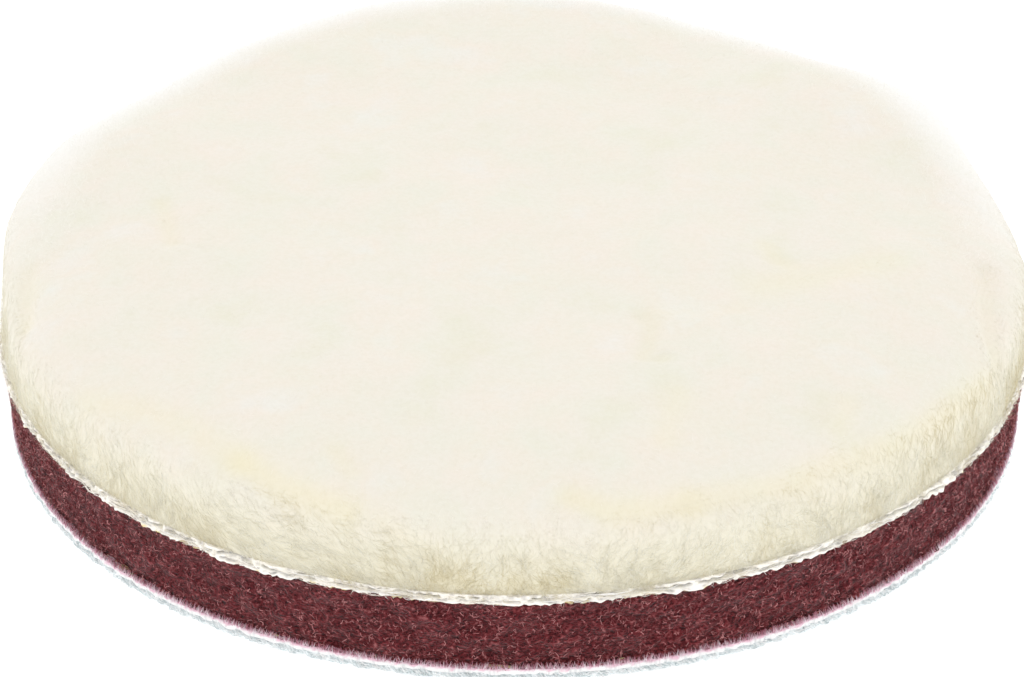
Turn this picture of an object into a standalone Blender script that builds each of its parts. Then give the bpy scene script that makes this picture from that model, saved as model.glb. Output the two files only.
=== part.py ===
"""Wool polishing pad: loop fabric, foam interlayer and wool pile, bonded in one stack.

Units are metres and +Z is up. The pad lies wool side up, and the origin is the centre of the
loop face, the flat underside that grips a polisher's hook plate. Layers are stacked from that
face, each one starting a bond gap above the layer under it. The foam is soft, so everything
above it is parented to an empty that travels on the pad's own axis.
"""

from dataclasses import dataclass
from math import cos, pi, sin

import bmesh
import bpy

# Driving dimensions
PAD_DIAMETER = 0.1500  # the loop fabric, which is the size the pad is sold by
BOND_GAP = 0.0003  # between one layer's face and the next

LOOP_PILE_THICKNESS = 0.0009
LOOP_GROUND_THICKNESS = 0.0004
ADHESIVE_THICKNESS = 0.00015
FOAM_THICKNESS = 0.0104
BACK_COAT_THICKNESS = 0.0002
PILE_GROUND_THICKNESS = 0.0008
WOOL_HEIGHT = 0.0179  # root to crown, at the middle of the pad

FOAM_INSET = 0.0002  # the foam's lower edge, in from the loop fabric's edge
FOAM_FLARE = 0.0008  # how much wider the foam is where the wool fabric holds it
ADHESIVE_INSET = 0.0010  # glue stops short of the edge it joins
GROUND_OVERHANG = 0.0006  # the wool fabric's cut edge, out past the foam's upper edge
WOOL_ROOT_INSET = 0.0010  # outermost wool roots, in from the ground cloth's edge
WOOL_SPREAD = 0.0009  # how far the wool splays out past its roots
WOOL_WIDEST_HEIGHT = 0.0060  # height over the roots at which the wool is widest
WOOL_CROWN_EXPONENT = 3.4  # squareness of the crown: 2 is an ellipse

EDGE_CHAMFER = 0.0002
CHAMFER_SHARE = 0.3  # a chamfer never takes more than this share of its layer

# Facets
TURN_STEPS = 72
FOAM_SIDE_STEPS = 4
CROWN_STEPS = 12
SPLAY_STEPS = 4
MERGE_DISTANCE = 1e-6
SMOOTH_ANGLE = pi / 6

# Outer radii that follow from the driving dimensions
LOOP_RADIUS = PAD_DIAMETER / 2
FOAM_BASE_RADIUS = LOOP_RADIUS - FOAM_INSET
FOAM_TOP_RADIUS = FOAM_BASE_RADIUS + FOAM_FLARE
GROUND_RADIUS = FOAM_TOP_RADIUS + GROUND_OVERHANG
WOOL_ROOT_RADIUS = GROUND_RADIUS - WOOL_ROOT_INSET
WOOL_RADIUS = WOOL_ROOT_RADIUS + WOOL_SPREAD


@dataclass(frozen=True)
class Finish:
    """A layer's material: linear base colour, roughness and metallic value."""

    colour: tuple
    roughness: float
    metallic: float = 0.0


LOOP_NYLON = Finish((0.66, 0.72, 0.73), 0.85)
GROUND_KNIT = Finish((0.80, 0.82, 0.82), 0.80)
GLUE = Finish((0.62, 0.52, 0.24), 0.35)
MAROON_FOAM = Finish((0.114, 0.030, 0.031), 0.95)
LATEX_COAT = Finish((0.72, 0.66, 0.52), 0.60)
GROUND_WEAVE = Finish((0.78, 0.75, 0.68), 0.85)
CREAM_WOOL = Finish((0.896, 0.863, 0.768), 0.95)


def clear_scene():
    """Remove every object of the open file's scene."""
    for scene_object in list(bpy.data.objects):
        bpy.data.objects.remove(scene_object, do_unlink=True)


def add_empty(name):
    """Add the empty that a rigid group of layers is parented to, on the pad's axis."""
    empty = bpy.data.objects.new(name, None)
    empty.empty_display_size = LOOP_RADIUS
    bpy.context.scene.collection.objects.link(empty)
    return empty


def make_material(name, finish):
    """Make one layer's Principled material."""
    material = bpy.data.materials.new(name)
    material.use_nodes = True
    shader = material.node_tree.nodes["Principled BSDF"]
    shader.inputs["Base Color"].default_value = (*finish.colour, 1.0)
    shader.inputs["Roughness"].default_value = finish.roughness
    shader.inputs["Metallic"].default_value = finish.metallic
    return material


def turn(name, profile, base, parent, finish):
    """Turn a profile, run from the top of the axis down its outer side, into one layer."""
    work = bmesh.new()
    points = [work.verts.new((radius, 0.0, height)) for radius, height in profile]
    edges = [work.edges.new(pair) for pair in zip(points, points[1:])]
    bmesh.ops.spin(
        work,
        geom=points + edges,
        axis=(0.0, 0.0, 1.0),
        angle=2 * pi,
        steps=TURN_STEPS,
        use_merge=True,
    )
    bmesh.ops.remove_doubles(work, verts=work.verts[:], dist=MERGE_DISTANCE)
    bmesh.ops.recalc_face_normals(work, faces=work.faces[:])
    mesh = bpy.data.meshes.new(name)
    work.to_mesh(mesh)
    work.free()
    mesh.shade_smooth()
    mesh.set_sharp_from_angle(angle=SMOOTH_ANGLE)
    mesh.materials.append(make_material(name, finish))
    layer = bpy.data.objects.new(name, mesh)
    bpy.context.scene.collection.objects.link(layer)
    layer.location.z = base
    layer.parent = parent


def disc_profile(radius, thickness):
    """Outline of a flat layer with chamfered rims."""
    chamfer = min(EDGE_CHAMFER, CHAMFER_SHARE * thickness)
    return [
        (0.0, thickness),
        (radius - chamfer, thickness),
        (radius, thickness - chamfer),
        (radius, chamfer),
        (radius - chamfer, 0.0),
        (0.0, 0.0),
    ]


def foam_profile():
    """Outline of the foam: its cut side flares out towards the wool fabric."""
    chamfer = min(EDGE_CHAMFER, CHAMFER_SHARE * FOAM_THICKNESS)
    side = []
    for step in range(FOAM_SIDE_STEPS + 1):
        share = 1 - step / FOAM_SIDE_STEPS
        height = chamfer + share * (FOAM_THICKNESS - 2 * chamfer)
        side.append((FOAM_BASE_RADIUS + FOAM_FLARE * share**2, height))
    return [
        (0.0, FOAM_THICKNESS),
        (FOAM_TOP_RADIUS - chamfer, FOAM_THICKNESS),
        *side,
        (FOAM_BASE_RADIUS - chamfer, 0.0),
        (0.0, 0.0),
    ]


def wool_profile():
    """Outline of the wool: a superellipse crown over a side that draws in to the roots."""
    power = 2 / WOOL_CROWN_EXPONENT
    crown_height = WOOL_HEIGHT - WOOL_WIDEST_HEIGHT
    outline = [(0.0, WOOL_HEIGHT)]
    for step in range(1, CROWN_STEPS + 1):
        angle = pi / 2 * (1 - step / CROWN_STEPS)
        radius = WOOL_RADIUS * cos(angle) ** power
        outline.append((radius, WOOL_WIDEST_HEIGHT + crown_height * sin(angle) ** power))
    for step in range(1, SPLAY_STEPS + 1):
        angle = pi / 2 * step / SPLAY_STEPS
        radius = WOOL_ROOT_RADIUS + WOOL_SPREAD * cos(angle)
        outline.append((radius, WOOL_WIDEST_HEIGHT * (1 - sin(angle))))
    outline.append((0.0, 0.0))
    return outline


def build_pad():
    """Stack the layers from the loop face up."""
    backing = add_empty("backing_frame")
    wool_face = add_empty("wool_face_frame")
    loops = disc_profile(LOOP_RADIUS, LOOP_PILE_THICKNESS)
    knit = disc_profile(LOOP_RADIUS, LOOP_GROUND_THICKNESS)
    lower_glue = disc_profile(FOAM_BASE_RADIUS - ADHESIVE_INSET, ADHESIVE_THICKNESS)
    upper_glue = disc_profile(FOAM_TOP_RADIUS - ADHESIVE_INSET, ADHESIVE_THICKNESS)
    coat = disc_profile(FOAM_TOP_RADIUS, BACK_COAT_THICKNESS)
    weave = disc_profile(GROUND_RADIUS, PILE_GROUND_THICKNESS)
    stack = (
        ("loop_pile", loops, backing, LOOP_NYLON),
        ("loop_ground_cloth", knit, backing, GROUND_KNIT),
        ("lower_adhesive_film", lower_glue, backing, GLUE),
        ("foam_interlayer", foam_profile(), backing, MAROON_FOAM),
        ("upper_adhesive_film", upper_glue, wool_face, GLUE),
        ("pile_back_coat", coat, wool_face, LATEX_COAT),
        ("pile_ground_cloth", weave, wool_face, GROUND_WEAVE),
        ("wool_pile", wool_profile(), wool_face, CREAM_WOOL),
    )
    base = 0.0
    for name, profile, parent, finish in stack:
        turn(name, profile, base, parent, finish)
        thickness = profile[0][1]
        base += thickness + BOND_GAP


clear_scene()
build_pad()
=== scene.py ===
"""Looks of a round wool polishing pad that lies wool side up.

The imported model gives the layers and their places. This script dresses them: fluffed wool made of
a soft core and combed fibres, the woven cloth that the wool is tufted through, with its frayed cut
edge, the curly soft layer between, and the brushed loops that grip a hook plate. Everything is in
metres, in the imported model's own frame.
"""

import sys
import logging
import math
from collections.abc import Callable
from dataclasses import dataclass, field
from enum import Enum

import bpy
import numpy as np
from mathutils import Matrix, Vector


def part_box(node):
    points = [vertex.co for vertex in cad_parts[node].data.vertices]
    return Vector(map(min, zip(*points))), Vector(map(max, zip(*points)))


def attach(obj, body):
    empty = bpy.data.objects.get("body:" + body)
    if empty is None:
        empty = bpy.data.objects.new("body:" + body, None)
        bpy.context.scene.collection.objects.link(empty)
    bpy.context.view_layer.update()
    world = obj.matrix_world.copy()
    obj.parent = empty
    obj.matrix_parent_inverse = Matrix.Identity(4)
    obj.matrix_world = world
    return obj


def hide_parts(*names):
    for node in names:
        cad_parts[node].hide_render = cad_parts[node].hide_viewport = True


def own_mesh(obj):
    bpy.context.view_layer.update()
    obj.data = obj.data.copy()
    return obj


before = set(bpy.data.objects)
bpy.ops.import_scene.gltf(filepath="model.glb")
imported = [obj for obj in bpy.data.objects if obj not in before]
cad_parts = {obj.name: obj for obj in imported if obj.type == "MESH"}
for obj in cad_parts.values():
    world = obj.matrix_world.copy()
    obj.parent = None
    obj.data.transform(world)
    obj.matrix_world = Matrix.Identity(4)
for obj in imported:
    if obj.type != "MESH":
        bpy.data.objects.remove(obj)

LOG = logging.getLogger("polishing_pad")
BAKE_MAP = "OFBake"
TURN = 2 * math.pi
Input = bpy.types.NodeSocket | float | tuple | None
Field = Callable[[np.ndarray], np.ndarray]
Chance = np.random.Generator
GOLDEN_ANGLE = math.pi * (3 - math.sqrt(5))
EDGE_BAND = 0.0014  # how far in from a disc's side its bumps and scallops die out


class Body(Enum):
    """The rigid bodies that pieces ride on."""

    BACKING = "backing"
    WOOL_FACE = "wool_face"


class Slot(Enum):
    """The pad's material slots."""

    LOOPS = "loop_fabric"
    KNIT = "loop_ground"
    GLUE = "glue"
    FOAM = "maroon_foam"
    COAT = "back_coat"
    WEAVE = "woven_ground"
    WOOL = "cream_wool"


# ---------------------------------------------------------------------------------------------
# Numbers over space


@dataclass
class WaveField:
    """A smooth random field: a sum of sine waves of about one length, with a spread near 1."""

    wavelength: float
    seed: int
    waves: int = 16
    vectors: np.ndarray = field(init=False)
    phases: np.ndarray = field(init=False)

    def __post_init__(self) -> None:
        """Draw the waves."""
        rng = np.random.default_rng(self.seed)
        direction = rng.normal(size=(self.waves, 3))
        direction /= np.linalg.norm(direction, axis=1, keepdims=True)
        length = self.wavelength * rng.uniform(0.7, 1.4, self.waves)
        self.vectors = direction * (TURN / length)[:, None]
        self.phases = rng.uniform(0, TURN, self.waves)

    def at(self, points: np.ndarray) -> np.ndarray:
        """Read the field.

        Args:
            points: places in metres, in an array whose last axis is x, y, z.

        Returns:
            One number for each place.
        """
        return np.sin(points @ self.vectors.T + self.phases).sum(-1) / math.sqrt(self.waves / 2)


def unit(vectors: np.ndarray) -> np.ndarray:
    """Scale vectors to length 1."""
    return vectors / np.maximum(np.linalg.norm(vectors, axis=-1, keepdims=True), 1e-12)


def around(angle: np.ndarray) -> tuple:
    """Directions out from the axis and along the turn, at angles round the pad."""
    zero = np.zeros_like(angle)
    out = np.stack([np.cos(angle), np.sin(angle), zero], -1)
    along = np.stack([-np.sin(angle), np.cos(angle), zero], -1)
    return out, along


def smooth(share: np.ndarray) -> np.ndarray:
    """Ease from 0 to 1."""
    share = np.clip(share, 0, 1)
    return share * share * (3 - 2 * share)


# ---------------------------------------------------------------------------------------------
# Materials


class Nodes:
    """A short way to build one Principled material."""

    def __init__(self, name: str) -> None:
        """Start a material with a lone Principled shader."""
        self.material = bpy.data.materials.new(name)
        self.material.use_nodes = True
        self.tree = self.material.node_tree
        self.shader = self.tree.nodes["Principled BSDF"]

    @classmethod
    def reopen(cls, material: bpy.types.Material) -> "Nodes":
        """Go on with a material that was built before."""
        nodes = cls.__new__(cls)
        nodes.material = material
        nodes.tree = material.node_tree
        nodes.shader = nodes.tree.nodes["Principled BSDF"]
        return nodes

    def add(self, kind: str, **settings: object) -> bpy.types.Node:
        """Add a node and set its properties."""
        node = self.tree.nodes.new(kind)
        for name, value in settings.items():
            setattr(node, name, value)
        return node

    def link(self, source: bpy.types.NodeSocket, target: bpy.types.NodeSocket) -> None:
        """Join two sockets."""
        self.tree.links.new(source, target)

    def constant(self, **values: object) -> None:
        """Set the shader's own sockets, named with underscores for spaces."""
        for name, value in values.items():
            self.shader.inputs[name.replace("_", " ")].default_value = value

    def place(self, scale: tuple = (1, 1, 1)) -> bpy.types.NodeSocket:
        """Give the piece's own coordinates, stretched by scale."""
        coordinates = self.add("ShaderNodeTexCoord")
        mapping = self.add("ShaderNodeMapping")
        mapping.inputs["Scale"].default_value = scale
        self.link(coordinates.outputs["Object"], mapping.inputs["Vector"])
        return mapping.outputs["Vector"]

    def noise(
        self, vector: bpy.types.NodeSocket, size: float, detail: float = 3, **inputs: float
    ) -> bpy.types.NodeSocket:
        """Add a noise whose largest features are about size metres, and give its value."""
        node = self.add("ShaderNodeTexNoise")
        node.inputs["Scale"].default_value = 1 / size
        node.inputs["Detail"].default_value = detail
        for name, value in inputs.items():
            node.inputs[name].default_value = value
        self.link(vector, node.inputs["Vector"])
        return node.outputs["Fac"]

    def ramp(self, factor: bpy.types.NodeSocket, stops: list) -> bpy.types.NodeSocket:
        """Turn a value into a colour by stops of (place, (r, g, b))."""
        node = self.add("ShaderNodeValToRGB")
        elements = node.color_ramp.elements
        while len(elements) < len(stops):
            elements.new(0.5)
        for element, (place, colour) in zip(elements, stops):
            element.position = place
            element.color = (*colour, 1)
        self.link(factor, node.inputs["Fac"])
        return node.outputs["Color"]

    def math(
        self, operation: str, first: Input, second: Input = None, third: Input = None, clamp: bool = False
    ) -> bpy.types.NodeSocket:
        """Add a Math node whose inputs are sockets or numbers."""
        node = self.add("ShaderNodeMath", operation=operation, use_clamp=clamp)
        for socket, value in zip(node.inputs, (first, second, third)):
            if isinstance(value, bpy.types.NodeSocket):
                self.link(value, socket)
            elif value is not None:
                socket.default_value = value
        return node.outputs["Value"]

    def mix(
        self, factor: Input, first: Input, second: Input, blend: str = "MIX"
    ) -> bpy.types.NodeSocket:
        """Mix two colours, each a socket or (r, g, b)."""
        node = self.add("ShaderNodeMix", data_type="RGBA", blend_type=blend)
        colours = [s for s in node.inputs if s.type == "RGBA"]
        for socket, value in zip((node.inputs["Factor"], *colours), (factor, first, second)):
            if isinstance(value, bpy.types.NodeSocket):
                self.link(value, socket)
            else:
                socket.default_value = value if isinstance(value, float) else (*value, 1)
        return next(s for s in node.outputs if s.type == "RGBA")

    def painted(self, name: str) -> bpy.types.NodeSocket:
        """Give the number that is painted on the piece's points under this name."""
        return self.add("ShaderNodeAttribute", attribute_name=name).outputs["Fac"]

    def bump(self, height: bpy.types.NodeSocket, depth: float, strength: float = 1.0) -> None:
        """Bump the surface by a height of 0 to 1 that stands for depth metres."""
        node = self.add("ShaderNodeBump")
        node.inputs["Strength"].default_value = strength
        node.inputs["Distance"].default_value = depth
        self.link(height, node.inputs["Height"])
        self.link(node.outputs["Normal"], self.shader.inputs["Normal"])


@dataclass(frozen=True)
class FibreFinish:
    """Fibres whose map holds a tile for each tone and shade, with the root at a tile's foot."""

    name: str
    tones: tuple
    root: tuple
    root_share: float = 0.45
    shade_spread: float = 0.06
    roughness: float = 0.75
    sheen: float = 0.2
    specular: float = 0.25
    columns: int = 48
    rows: int = 20

    def material(self) -> bpy.types.Material:
        """Build the material: tone across the map, shade by row, darker towards the root."""
        nodes = Nodes(self.name)
        layer = nodes.add("ShaderNodeUVMap", uv_map=BAKE_MAP)
        split = nodes.add("ShaderNodeSeparateXYZ")
        nodes.link(layer.outputs["UV"], split.inputs["Vector"])
        stops = [(i / (len(self.tones) - 1), c) for i, c in enumerate(self.tones)]
        tone = nodes.ramp(split.outputs["X"], stops)
        rows = nodes.math("MULTIPLY", split.outputs["Y"], float(self.rows))
        along = nodes.math("FRACT", rows)
        row = nodes.math("DIVIDE", nodes.math("FLOOR", rows), float(self.rows - 1))
        low, high = 1 - self.shade_spread, 1.0
        shade = nodes.math("MULTIPLY_ADD", row, high - low, low)
        depth = nodes.math("DIVIDE", along, self.root_share, clamp=True)
        rooted = nodes.mix(depth, self.root, tone)
        grey = nodes.add("ShaderNodeCombineColor")
        for channel in grey.inputs:
            nodes.link(shade, channel)
        colour = nodes.mix(1.0, rooted, grey.outputs["Color"], "MULTIPLY")
        nodes.link(colour, nodes.shader.inputs["Base Color"])
        nodes.constant(
            Roughness=self.roughness,
            Sheen_Weight=self.sheen,
            Sheen_Roughness=0.5,
            Specular_IOR_Level=self.specular,
        )
        return nodes.material


@dataclass(frozen=True)
class WoolCoreFinish:
    """The matted wool under the combed fibres: clouded cream, with painted shade that makes its creases
    and its lower side yellower, and painted sheen that whitens its rim.
    """

    name: str = "matted_cream_wool"

    def material(self) -> bpy.types.Material:
        """Build the material from clouds, hues, a fine grain, the painted shade of the creases and side
        and the painted sheen of the rim.
        """
        nodes = Nodes(self.name)
        place = nodes.place()
        clouds = nodes.noise(place, 0.015, 4, Roughness=0.6)
        cream = nodes.ramp(clouds, [
            (0.30, (0.695, 0.668, 0.575)),
            (0.44, (0.712, 0.684, 0.616)),
            (0.56, (0.724, 0.678, 0.606)),
            (0.70, (0.715, 0.696, 0.648)),
        ])
        hues = nodes.noise(nodes.place((1.0, 1.0, 1.3)), 0.008, 3)
        hue = nodes.ramp(hues, [(0.35, (0.975, 0.990, 0.970)), (0.65, (1.0, 0.988, 0.985))])
        cream = nodes.mix(1.0, cream, hue, "MULTIPLY")
        # Painted shade: low on the side the wool turns yellower.
        sides = nodes.mix(nodes.painted("side"), cream, (0.728, 0.693, 0.565))
        # Painted sheen: the rim whiter, most of all at the back.
        rim_sheened = nodes.mix(nodes.painted("pale"), sides, (0.785, 0.780, 0.765))
        # Painted shade: yellower in the partings and creases.
        shaded_creases = nodes.mix(nodes.painted("relief_shading"), rim_sheened, (0.725, 0.672, 0.495))
        grain = nodes.noise(place, 0.0007, 4, Roughness=0.7)
        fine = nodes.ramp(grain, [(0.34, (0.955, 0.948, 0.920)), (0.60, (1.0, 1.0, 1.0))])
        colour = nodes.mix(0.7, shaded_creases, fine, "MULTIPLY")
        nodes.link(colour, nodes.shader.inputs["Base Color"])
        nodes.bump(grain, 0.00012, 0.35)
        nodes.constant(Roughness=0.9, Specular_IOR_Level=0.1, Sheen_Weight=0.25, Sheen_Roughness=0.5)
        return nodes.material


@dataclass(frozen=True)
class FoamFinish:
    """The soft layer's cut face: burgundy cells between lighter curly fibres, darker in the hollows as
    painted shade.
    """

    name: str = "burgundy_soft_layer"

    def material(self) -> bpy.types.Material:
        """Build the material from cells and slow colour drift, darker where the bump is low as painted
        shade and lighter where it is high as painted highlight.
        """
        nodes = Nodes(self.name)
        place = nodes.place((1.0, 1.0, 1.5))
        cells = nodes.add("ShaderNodeTexVoronoi", feature="SMOOTH_F1")
        cells.inputs["Scale"].default_value = 1 / 0.0005
        nodes.link(place, cells.inputs["Vector"])
        grain = nodes.noise(place, 0.0007, 4, Roughness=0.75)
        drift = nodes.noise(place, 0.012, 3)
        raised = nodes.math("MULTIPLY", grain, 0.7)
        height = nodes.math("MULTIPLY_ADD", cells.outputs["Distance"], 0.45, raised)
        # Painted shade in the hollows, painted highlight on the raised curls.
        dark = nodes.ramp(height, [
            (0.38, (0.028, 0.001, 0.003)),
            (0.50, (0.085, 0.006, 0.009)),
            (0.62, (0.175, 0.021, 0.026)),
            (0.74, (0.360, 0.110, 0.110)),
        ])
        tint = nodes.ramp(drift, [(0.3, (0.85, 0.85, 0.90)), (0.7, (1.0, 1.0, 1.0))])
        nodes.link(nodes.mix(1.0, dark, tint, "MULTIPLY"), nodes.shader.inputs["Base Color"])
        nodes.bump(height, 0.0006, 0.9)
        nodes.constant(Roughness=0.95, Sheen_Weight=0.15, Specular_IOR_Level=0.2)
        return nodes.material


@dataclass(frozen=True)
class WeaveFinish:
    """Plain woven cotton, whitish, with painted shade: a little grey in its hollows."""

    name: str
    light: tuple
    dark: tuple
    pitch: float = 0.0009

    def material(self) -> bpy.types.Material:
        """Build the material from two crossed waves and dust, greyer where the weave is low as painted
        shade.
        """
        nodes = Nodes(self.name)
        place = nodes.place()
        heights = []
        for axis in ("X", "Y"):
            wave = nodes.add("ShaderNodeTexWave", bands_direction=axis)
            wave.inputs["Scale"].default_value = 1 / (3.2 * self.pitch)
            wave.inputs["Distortion"].default_value = 0.6
            nodes.link(place, wave.inputs["Vector"])
            heights.append(wave.outputs["Fac"])
        height = nodes.math("MAXIMUM", *heights)
        dust = nodes.noise(place, 0.0016, 4)
        # Painted shade: greyer where the weave is low.
        tone = nodes.math("MULTIPLY_ADD", dust, 0.5, nodes.math("MULTIPLY", height, 0.6))
        colour = nodes.ramp(tone, [(0.25, self.dark), (0.60, self.light)])
        nodes.link(colour, nodes.shader.inputs["Base Color"])
        nodes.bump(height, 0.0002, 0.7)
        nodes.constant(Roughness=0.85, Sheen_Weight=0.1, Specular_IOR_Level=0.25)
        return nodes.material


@dataclass(frozen=True)
class KnitFinish(WeaveFinish):
    """White knit that takes a little of the burgundy at its upper rim."""

    tint: tuple = (0.80, 0.52, 0.62)

    def material(self) -> bpy.types.Material:
        """Build the weave and lay the painted tint over it."""
        material = super().material()
        nodes = Nodes.reopen(material)
        colour = nodes.shader.inputs["Base Color"].links[0].from_socket
        tinted = nodes.mix(nodes.painted("tint"), colour, self.tint)
        nodes.link(tinted, nodes.shader.inputs["Base Color"])
        return material


@dataclass(frozen=True)
class CutClothFinish(WeaveFinish):
    """Woven cotton whose cut side shows lips of yarn and slits along them, the lips lighter as painted
    highlight and the slits grey as painted shade.
    """

    # Painted shade in the slits and painted highlight on the lips.
    slit: tuple = (0.30, 0.29, 0.30)
    lip: tuple = (0.93, 0.90, 0.84)

    def material(self) -> bpy.types.Material:
        """Build the material from yarns that run along the side, slits and dust, with painted highlight on
        the lips and painted shade in the slits.
        """
        nodes = Nodes(self.name)
        dust = nodes.noise(nodes.place(), 0.0012, 4)
        base = nodes.ramp(dust, [(0.35, self.dark), (0.50, self.light), (0.70, self.lip)])
        lips = nodes.mix(nodes.painted("lip"), base, self.lip)
        slits = nodes.mix(nodes.painted("slit"), lips, self.slit)
        colour = nodes.mix(nodes.painted("glue"), slits, (0.72, 0.58, 0.20))
        nodes.link(colour, nodes.shader.inputs["Base Color"])
        nodes.bump(dust, 0.00015, 0.6)
        nodes.constant(Roughness=0.85, Sheen_Weight=0.1, Specular_IOR_Level=0.25)
        return nodes.material


@dataclass(frozen=True)
class GlueFinish:
    """Laminating glue or binder: yellowish, uneven and a little shiny."""

    name: str
    thin: tuple
    thick: tuple
    roughness: float = 0.3

    def material(self) -> bpy.types.Material:
        """Build the material from blotches where the coat is thicker."""
        nodes = Nodes(self.name)
        blotches = nodes.noise(nodes.place(), 0.004, 4)
        colour = nodes.ramp(blotches, [(0.35, self.thin), (0.65, self.thick)])
        nodes.link(colour, nodes.shader.inputs["Base Color"])
        nodes.bump(blotches, 0.0002, 0.5)
        nodes.constant(Roughness=self.roughness, Specular_IOR_Level=0.5)
        return nodes.material


@dataclass(frozen=True)
class FloorFinish:
    """Plain pale studio paper."""

    name: str = "pale_paper"
    glow: float = 0.25

    def material(self) -> bpy.types.Material:
        """Build the material: nearly white, with a trace of grain."""
        nodes = Nodes(self.name)
        grain = nodes.noise(nodes.place(), 0.01, 2)
        colour = nodes.ramp(grain, [(0.3, (0.93, 0.93, 0.93)), (0.7, (0.94, 0.94, 0.94))])
        nodes.link(colour, nodes.shader.inputs["Base Color"])
        nodes.constant(
            Roughness=0.9,
            Specular_IOR_Level=0.1,
            Emission_Color=(1, 1, 1, 1),
            Emission_Strength=self.glow,
        )
        return nodes.material


WOOL_FIBRE = FibreFinish(
    name="combed_cream_fibre",
    # The first six tones are the side's, mostly yellower than the crown's as painted shade; the next three
    # are the crown's; the last, whitest, is painted sheen for the rim.
    tones=(
        (0.655, 0.592, 0.405),
        (0.712, 0.662, 0.505),
        (0.745, 0.712, 0.590),
        (0.768, 0.745, 0.642),
        (0.788, 0.771, 0.682),
        (0.830, 0.822, 0.760),
        (0.790, 0.760, 0.675),
        (0.800, 0.762, 0.682),
        (0.810, 0.766, 0.690),
        (0.900, 0.890, 0.860),
    ),
    # Painted shade: the root colour, deep in the pile.
    root=(0.745, 0.712, 0.590),
    root_share=0.25,
    shade_spread=0.03,
    sheen=0.0,
    specular=0.1,
)
WEAVE_FIBRE = FibreFinish(
    name="frayed_white_fibre",
    tones=((0.42, 0.38, 0.34), (0.88, 0.82, 0.72), (0.92, 0.90, 0.86), (0.92, 0.92, 0.92)),
    root=(0.70, 0.66, 0.60),
    root_share=0.25,
)
FOAM_FIBRE = FibreFinish(
    name="curly_burgundy_fibre",
    tones=((0.040, 0.001, 0.003), (0.108, 0.006, 0.010), (0.245, 0.036, 0.043), (0.64, 0.28, 0.28)),
    root=(0.12, 0.018, 0.020),
    root_share=0.15,
    shade_spread=0.35,
    sheen=0.1,
)
LOOP_FIBRE = FibreFinish(
    name="brushed_grey_white_fibre",
    tones=((0.62, 0.69, 0.70), (0.80, 0.85, 0.86), (0.90, 0.93, 0.93), (0.95, 0.95, 0.95)),
    root=(0.78, 0.83, 0.84),
    root_share=0.2,
    shade_spread=0.15,
)
PINK_FIBRE = FibreFinish(
    name="pale_pink_fibre",
    tones=((0.60, 0.25, 0.34), (0.76, 0.48, 0.58), (0.90, 0.76, 0.84), (0.95, 0.90, 0.94)),
    root=(0.24, 0.040, 0.060),
    root_share=0.75,
    shade_spread=0.15,
    sheen=0.1,
)


# ---------------------------------------------------------------------------------------------
# Making meshes


def select_nothing() -> None:
    """Leave edit mode and deselect every object."""
    if bpy.context.mode != "OBJECT":
        bpy.ops.object.mode_set(mode="OBJECT")
    bpy.ops.object.select_all(action="DESELECT")


def named(name: str) -> bpy.types.Object:
    """Name the object that an operator has just added."""
    piece = bpy.context.object
    piece.name = name
    piece.data.name = name
    return piece


def edit(piece: bpy.types.Object, select: str = "NOTHING") -> None:
    """Enter edit mode on one piece, with all or nothing selected."""
    select_nothing()
    piece.select_set(True)
    bpy.context.view_layer.objects.active = piece
    bpy.ops.object.mode_set(mode="EDIT")
    bpy.ops.mesh.select_all(action="SELECT" if select == "ALL" else "DESELECT")


def settle(piece: bpy.types.Object) -> None:
    """Put the piece's place, turn and size into its mesh."""
    select_nothing()
    piece.select_set(True)
    bpy.context.view_layer.objects.active = piece
    bpy.ops.object.transform_apply(location=True, rotation=True, scale=True)


def points_of(piece: bpy.types.Object) -> np.ndarray:
    """Read a mesh's points."""
    places = np.empty(len(piece.data.vertices) * 3, np.float32)
    piece.data.vertices.foreach_get("co", places)
    return places.reshape(-1, 3).astype(float)


def put_points(piece: bpy.types.Object, places: np.ndarray) -> None:
    """Write a mesh's points."""
    piece.data.vertices.foreach_set("co", places.astype(np.float32).ravel())
    piece.data.update()


def paint(piece: bpy.types.Object, name: str, values: np.ndarray) -> None:
    """Store one number for each of a mesh's points, for its material to read."""
    layer = piece.data.attributes.new(name, "FLOAT", "POINT")
    layer.data.foreach_set("value", np.clip(values, 0, 1).astype(np.float32))


def shade_round(piece: bpy.types.Object, degrees: float = 50) -> None:
    """Shade a piece smooth but for its sharp rims."""
    piece.data.shade_smooth()
    piece.data.set_sharp_from_angle(angle=math.radians(degrees))


def dress(piece: bpy.types.Object, material: bpy.types.Material, body: Body) -> None:
    """Give a finished piece its material and the body it rides on."""
    piece.data.materials.clear()
    piece.data.materials.append(material)
    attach(piece, body.value)
    LOG.info("%s: %d faces, rides on %s", piece.name, len(piece.data.polygons), body.value)


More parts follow.
